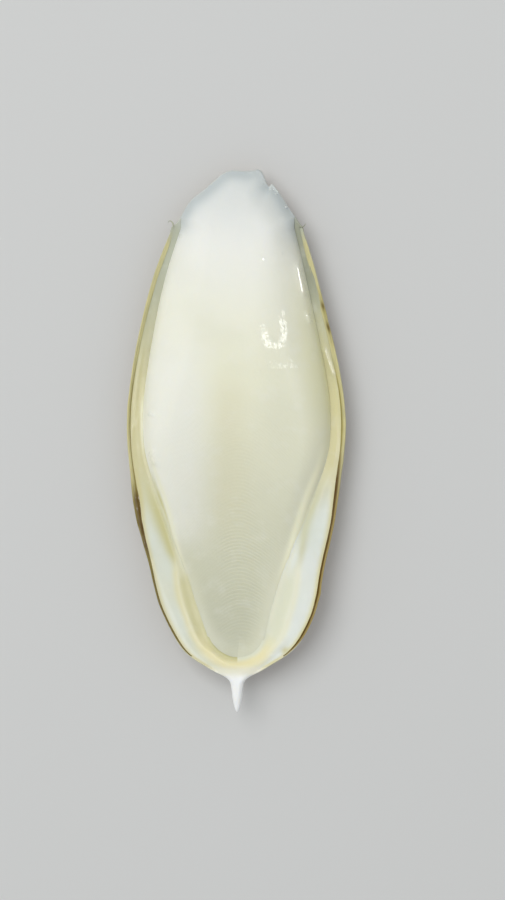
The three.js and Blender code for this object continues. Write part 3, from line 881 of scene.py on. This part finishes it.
def grain_tree(material):
    """Geometry Nodes that strew low rounded grains over the faces of the domed back."""
    tree = bpy.data.node_groups.new("back grains", "GeometryNodeTree")
    face = tree.interface
    face.new_socket("Geometry", in_out="INPUT", socket_type="NodeSocketGeometry")
    face.new_socket("Geometry", in_out="OUTPUT", socket_type="NodeSocketGeometry")
    for name, default in GRAIN_SIZES.items():
        socket = face.new_socket(name, in_out="INPUT", socket_type="NodeSocketFloat")
        socket.default_value = default
    entry = tree.nodes.new("NodeGroupInput")
    leave = tree.nodes.new("NodeGroupOutput")
    strew = tree.nodes.new("GeometryNodeDistributePointsOnFaces")
    strew.distribute_method = "POISSON"
    strew.inputs["Seed"].default_value = SEED
    grain = tree.nodes.new("GeometryNodeMeshIcoSphere")
    grain.inputs["Subdivisions"].default_value = 1
    size = tree.nodes.new("FunctionNodeRandomValue")
    size.data_type = "FLOAT_VECTOR"
    size.inputs["Min"].default_value = (0.6, 0.6, 0.35)
    size.inputs["Max"].default_value = (1.25, 1.25, 0.6)
    size.inputs["Seed"].default_value = SEED
    place = tree.nodes.new("GeometryNodeInstanceOnPoints")
    realize = tree.nodes.new("GeometryNodeRealizeInstances")
    dress = tree.nodes.new("GeometryNodeSetMaterial")
    dress.inputs["Material"].default_value = material
    smooth = tree.nodes.new("GeometryNodeSetShadeSmooth")
    link_nodes(
        tree,
        (entry.outputs["Geometry"], strew.inputs["Mesh"]),
        (entry.outputs["Grains per square metre"], strew.inputs["Density Max"]),
        (entry.outputs["Least gap"], strew.inputs["Distance Min"]),
        (entry.outputs["Grain radius"], grain.inputs["Radius"]),
        (strew.outputs["Points"], place.inputs["Points"]),
        (strew.outputs["Rotation"], place.inputs["Rotation"]),
        (grain.outputs["Mesh"], place.inputs["Instance"]),
        (size.outputs["Value"], place.inputs["Scale"]),
        (place.outputs["Instances"], realize.inputs["Geometry"]),
        (realize.outputs["Geometry"], smooth.inputs["Geometry"]),
        (smooth.outputs["Geometry"], dress.inputs["Geometry"]),
        (dress.outputs["Geometry"], leave.inputs["Geometry"]),
    )
    return tree


def make_grains(material):
    """Low grains over the domed back, left off near the rim and where the shell rests, with ragged ends."""
    rows, columns = 90, 41
    back = np.linspace(16, 105, rows)[:, None] * np.ones(columns)
    x = np.linspace(-0.88, 0.88, columns) * rim_half(back)
    z = underside(x, back) + back_relief(x, back) + 0.05
    ends = np.minimum(np.minimum(back - 16, 105 - back) / 9, (0.88 - np.abs(x) / rim_half(back)) / 0.12)
    grown = np.minimum(ends - 0.4, (z - 0.45) * 3) > 0.9 * cells(x, back, 1.7, 8.0)
    grown = (grown & (z > 0.3)).ravel()
    faces = [quad for quad in grid_faces(rows, columns, flip=True) if grown[quad].all()]
    ground = piece_from("back_grains", in_place(x, back, z).reshape(-1, 3), faces, np.ones((x.size, 4)))
    tree = grain_tree(material)
    strewing = ground.modifiers.new("strewing", "NODES")
    strewing.node_group = tree
    for item in tree.interface.items_tree:
        if item.in_out == "INPUT" and item.name in GRAIN_SIZES:
            strewing[item.identifier] = GRAIN_SIZES[item.name]
    evaluated = ground.evaluated_get(bpy.context.evaluated_depsgraph_get())
    mesh = bpy.data.meshes.new_from_object(evaluated)
    ground.modifiers.remove(strewing)
    ground.data = mesh
    return ground


# The flake's outline as (x, back), and the crumbs as (x, back, half breadth, half length).

FLAKE_OUTLINE = [
    (6.64, 3.5), (7.05, 3.35), (7.46, 2.9), (7.85, 3.4), (8.2, 3.8), (8.65, 4.5), (8.9, 5.05), (8.2, 5.3),
    (7.1, 4.4),
]
CRUMBS = [(7.0, 4.25, 0.42, 0.28), (8.2, 5.25, 0.48, 0.24), (10.65, 8.1, 0.3, 0.26), (5.4, 3.0, 0.2, 0.18)]
CRUMB_RINGS, CRUMB_SIDES, CRUMB_HEIGHT = 4, 10, 0.3


def chip_height(x, back):
    """The body's surface just behind the front edge."""
    return float(body_top(np.array(x), np.array(back + 0.9), np.array(0.6)))


def flake(first):
    """Points and faces of the flake, whose front edge stands up; its points are numbered from `first`."""
    middle_x, middle_back = np.mean(FLAKE_OUTLINE, 0)
    top_z = chip_height(middle_x, middle_back)
    points = []
    for drop in (0.0, 0.18):
        for x, back in FLAKE_OUTLINE:
            points.append(in_place(x, back, top_z + 0.35 * (middle_back - back) - drop))
    size = len(FLAKE_OUTLINE)
    crown = first + len(points)
    points.append(in_place(middle_x, middle_back, top_z - 0.25))
    points.append(in_place(middle_x, middle_back, top_z - 0.5))
    faces = []
    for k in range(size):
        a, b = first + k, first + (k + 1) % size
        faces.append([b, a, crown])
        faces.append([a + size, b + size, crown + 1])
        faces.append([a, b, b + size, a + size])
    return points, faces


def crumb(first, x, back, wide, long):
    """Points and faces of an uneven half ball with a flat foot; its points are numbered from `first`."""
    foot = in_place(x, back, chip_height(x, back) - 0.15)
    points, faces = [], []
    for ring in range(CRUMB_RINGS):
        turn = math.pi / 2 * ring / CRUMB_RINGS
        for k in range(CRUMB_SIDES):
            angle = 2 * math.pi * k / CRUMB_SIDES
            reach = math.cos(turn) * (1 + 0.25 * noise.noise(Vector((x + k, back, ring))))
            spread = (wide * reach * math.cos(angle), long * reach * math.sin(angle))
            points.append(foot + (*spread, CRUMB_HEIGHT * math.sin(turn)))
    points.append(foot + (0, 0, CRUMB_HEIGHT))
    top_ring = first + (CRUMB_RINGS - 1) * CRUMB_SIDES
    for k in range(CRUMB_SIDES):
        beside = (k + 1) % CRUMB_SIDES
        for ring in range(first, top_ring, CRUMB_SIDES):
            faces.append([ring + k, ring + beside, ring + beside + CRUMB_SIDES, ring + k + CRUMB_SIDES])
        faces.append([top_ring + k, top_ring + beside, top_ring + CRUMB_SIDES])
    faces.append([first + k for k in reversed(range(CRUMB_SIDES))])
    return points, faces


def make_chips():
    """A thin glassy flake at the notch in the front edge, and wet crumbs beside it."""
    points, faces = flake(0)
    for place in CRUMBS:
        more_points, more_faces = crumb(len(points), *place)
        points += more_points
        faces += more_faces
    # the chips' near-white colour is partly a painted highlight, for the sparkles on the crumbs
    chips = piece_from("edge_chips", points, faces, np.tile(GLASSY, (len(points), 1)))
    chips.data.shade_flat()
    return chips


# Finishes


class Value:
    """A socket of a finish's node tree, which takes part in sums."""

    def __init__(self, finish, socket):
        self.finish = finish
        self.socket = socket

    def _sum(self, operation, *terms):
        return self.finish.node("ShaderNodeMath", {"operation": operation}, dict(enumerate(terms)))

    def __add__(self, other):
        return self._sum("ADD", self, other)

    def __mul__(self, other):
        return self._sum("MULTIPLY", self, other)

    def __sub__(self, other):
        return self._sum("SUBTRACT", self, other)

    def __rsub__(self, other):
        return self._sum("SUBTRACT", other, self)

    def clamp(self):
        return self.finish.node("ShaderNodeClamp", {}, {"Value": self})

    __radd__ = __add__
    __rmul__ = __mul__


class Finish:
    """A material and the one way in which its nodes are made."""

    def __init__(self, name):
        self.material = bpy.data.materials.new(name)
        self.material.use_nodes = True
        self.tree = self.material.node_tree
        self.tree.nodes.clear()

    def node(self, kind, settings, inputs, output=0):
        made = self.tree.nodes.new(kind)
        for name, value in settings.items():
            setattr(made, name, value)
        for name, value in inputs.items():
            if isinstance(value, Value):
                self.tree.links.new(value.socket, made.inputs[name])
            else:
                made.inputs[name].default_value = value
        return Value(self, made.outputs[output]) if len(made.outputs) else None

    def tone(self):
        return self.node("ShaderNodeAttribute", {"attribute_name": "tone"}, {}, output="Color")

    def mask(self, name):
        return self.node("ShaderNodeAttribute", {"attribute_name": name}, {}, output="Fac")

    def noise(self, scale, detail=3.0, stretch=None):
        place = self.node("ShaderNodeTexCoord", {}, {}, output="Object")
        if stretch:
            place = self.node("ShaderNodeMapping", {}, {"Vector": place, "Scale": stretch})
        inputs = {"Vector": place, "Scale": scale, "Detail": detail}
        return self.node("ShaderNodeTexNoise", {}, inputs)

    def mix(self, factor, first, second):
        return self.node("ShaderNodeMix", {"data_type": "RGBA"}, {0: factor, 6: first, 7: second}, output=2)

    def bump(self, height, distance, strength=1.0, under=None):
        inputs = {"Height": height, "Distance": distance, "Strength": strength}
        if under is not None:
            inputs["Normal"] = under
        return self.node("ShaderNodeBump", {}, inputs)

    def surface(self, **inputs):
        names = {key.replace("_", " "): value for key, value in inputs.items()}
        shader = self.node("ShaderNodeBsdfPrincipled", {}, names)
        self.node("ShaderNodeOutputMaterial", {}, {"Surface": shader})
        return self.material


def wet_chalk():
    finish = Finish("wet chalk")
    mottle = finish.noise(260, 4.0)
    cloudy = finish.noise(70, 2.0)
    speckle = finish.noise(1700, 3.0)
    wet = finish.mask("wet")
    tone = finish.mix(((cloudy - 0.5) * 0.5).clamp(), finish.tone(), CHALK_GREY)
    tone = finish.mix(((mottle - 0.55) * 0.8).clamp(), tone, CHALK_WHITE)
    pores = finish.bump(finish.noise(1500, 2.0), 0.00004, 0.6)
    normal = finish.bump(mottle, 0.00018, 0.4, under=pores)
    return finish.surface(
        Base_Color=tone, Roughness=0.45 + 0.2 * (mottle - 0.5), Normal=normal,
        Coat_Weight=(wet * (1.4 + 8.0 * (speckle - 0.5)) - 0.56).clamp(), Coat_Roughness=0.07,
        Specular_IOR_Level=0.3, Subsurface_Weight=0.25,
        Subsurface_Radius=(1.0, 0.9, 0.7), Subsurface_Scale=0.0012,
    )


def wet_shield():
    finish = Finish("wet shield")
    mottle = finish.noise(300, 4.0)
    tone = finish.mix(((mottle - 0.55) * 0.8).clamp(), finish.tone(), CHALK_WHITE)
    normal = finish.bump(mottle, 0.00015, 0.35)
    return finish.surface(
        Base_Color=tone, Roughness=0.4 + 0.2 * (mottle - 0.5), Normal=normal,
        Coat_Weight=finish.mask("wet") * 0.8, Coat_Roughness=0.07,
        Specular_IOR_Level=0.3, Subsurface_Weight=0.25,
        Subsurface_Radius=(1.0, 0.9, 0.7), Subsurface_Scale=0.0012,
    )


def wet_horn():
    finish = Finish("wet horn")
    fibre = finish.noise(700, 3.0, stretch=(3.0, 0.25, 1.0))
    speckle = finish.noise(900, 2.0)
    tone = finish.mix(((fibre - 0.5) * 0.3).clamp(), finish.tone(), HORN_PALE)
    tone = finish.mix(((0.45 - fibre) * 0.6).clamp(), tone, HORN_OLIVE)
    normal = finish.bump(fibre, 0.0001, 0.5)
    return finish.surface(
        Base_Color=tone, Roughness=0.32 + 0.2 * (fibre - 0.5), Normal=normal,
        Coat_Weight=((speckle - 0.6) * 4.0).clamp(), Coat_Roughness=0.1, Specular_IOR_Level=0.12,
        Subsurface_Weight=0.08, Subsurface_Radius=(1.0, 0.8, 0.4), Subsurface_Scale=0.0006,
    )


def dry_grain():
    finish = Finish("grain of the domed back")
    blush = finish.noise(90, 3.0, stretch=(1.0, 0.35, 1.0))
    tone = finish.mix(blush, BACK_CREAM, BACK_PINK)
    rough = 0.55 + 0.2 * (blush - 0.5)
    return finish.surface(Base_Color=tone, Roughness=rough, Coat_Weight=0.15, Coat_Roughness=0.2)


def glassy_chip():
    finish = Finish("glassy chip")
    cloudy = finish.noise(900, 2.0)
    tone = finish.mix((cloudy * 0.6).clamp(), finish.tone(), CHALK_WHITE)
    return finish.surface(
        Base_Color=tone, Roughness=0.06 + 0.1 * cloudy, Transmission_Weight=0.3, IOR=1.45,
        Coat_Weight=1.0, Coat_Roughness=0.02,
    )


# The floor, the light and the camera

FRAME_WIDTH_PX, FRAME_HEIGHT_PX = 505, 900
MM_PER_PX = 0.2214
MIDLINE_PX, MIDDLE_PX = 236.5, 441.0  # where the object's origin lies in the frame
CAMERA_HEIGHT = 0.62
SEEN_HEIGHT = 0.008  # the height above the floor at which the scale holds


def make_camera():
    data = bpy.data.cameras.new("camera")
    camera = bpy.data.objects.new("camera", data)
    bpy.context.scene.collection.objects.link(camera)
    x = (FRAME_WIDTH_PX / 2 - MIDLINE_PX) * MM_PER_PX * MM
    y = (MIDDLE_PX - FRAME_HEIGHT_PX / 2) * MM_PER_PX * MM
    camera.location = (x, y, CAMERA_HEIGHT)
    long_side = FRAME_HEIGHT_PX * MM_PER_PX * MM
    data.lens = data.sensor_width * (CAMERA_HEIGHT - SEEN_HEIGHT) / long_side
    data.clip_start, data.clip_end = 0.01, 10
    bpy.context.scene.camera = camera


def make_floor():
    finish = Finish("pale floor")
    finish.surface(Base_Color=colour(212, 213, 211), Roughness=0.75)
    half = 3.0
    corners = [(-half, -half, 0), (half, -half, 0), (half, half, 0), (-half, half, 0)]
    mesh = bpy.data.meshes.new("floor")
    mesh.from_pydata(corners, [], [(0, 1, 2, 3)])
    mesh.materials.append(finish.material)
    floor = bpy.data.objects.new("floor", mesh)
    bpy.context.scene.collection.objects.link(floor)


def make_lamp(name, place, aim, size, power, mirrored=False):
    """A soft lamp, or one that only shows as a reflection on wet places."""
    data = bpy.data.lights.new(name, "AREA")
    data.shape = "RECTANGLE"
    data.size, data.size_y = size
    data.energy = power
    lamp = bpy.data.objects.new(name, data)
    lamp.location = place
    lamp.rotation_euler = (Vector(aim) - Vector(place)).to_track_quat("-Z", "Y").to_euler()
    lamp.visible_glossy = mirrored
    lamp.visible_diffuse = not mirrored
    bpy.context.scene.collection.objects.link(lamp)


def make_light():
    world = bpy.data.worlds.new("studio")
    world.use_nodes = True
    background = world.node_tree.nodes["Background"]
    background.inputs["Color"].default_value = (0.97, 0.98, 1.0, 1)
    background.inputs["Strength"].default_value = 0.5
    bpy.context.scene.world = world
    make_lamp("key", (-0.5, 0.4, 1.15), (0, 0, 0), (0.9, 0.9), 8.8)
    make_lamp("glint", (0.45, 0.18, 0.78), (0.009, 0.026, 0.012), (0.4, 0.8), 7.0, mirrored=True)
    make_lamp("right glint", (1.0, 0.33, 0.25), (0.014, 0.036, 0.009), (0.09, 0.14), 1.7, mirrored=True)
    make_lamp("left glint", (-1.0, -0.05, 0.25), (-0.019, 0.0, 0.009), (0.12, 0.12), 0.6, mirrored=True)
    bpy.context.scene.view_settings.view_transform = "Standard"


def finish_piece(piece, material):
    if not piece.data.materials:
        piece.data.materials.append(material)
    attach(piece, "root")
    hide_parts("cuttlebone")


LEFT_CURL = [
    (-14.1, 12.3, 6.2), (-14.1, 11.85, 6.4), (-14.3, 11.45, 6.6), (-14.75, 11.15, 6.8), (-15.1, 11.35, 6.9),
    (-15.2, 11.75, 6.9),
]
RIGHT_SPIKE = [(14.5, 12.7, 6.2), (14.8, 12.45, 6.4), (15.05, 12.2, 6.6), (15.4, 11.75, 6.8)]

make_camera()
make_floor()
make_light()
horn = wet_horn()
grain = dry_grain()
finish_piece(make_shield(), wet_shield())
finish_piece(make_body(), wet_chalk())
finish_piece(make_rim("horny_rim_left", -1, LEFT_CURL, 0.14), horn)
finish_piece(make_rim("horny_rim_right", 1, RIGHT_SPIKE, 0.36), horn)
finish_piece(make_grains(grain), grain)
finish_piece(make_chips(), glassy_chip())
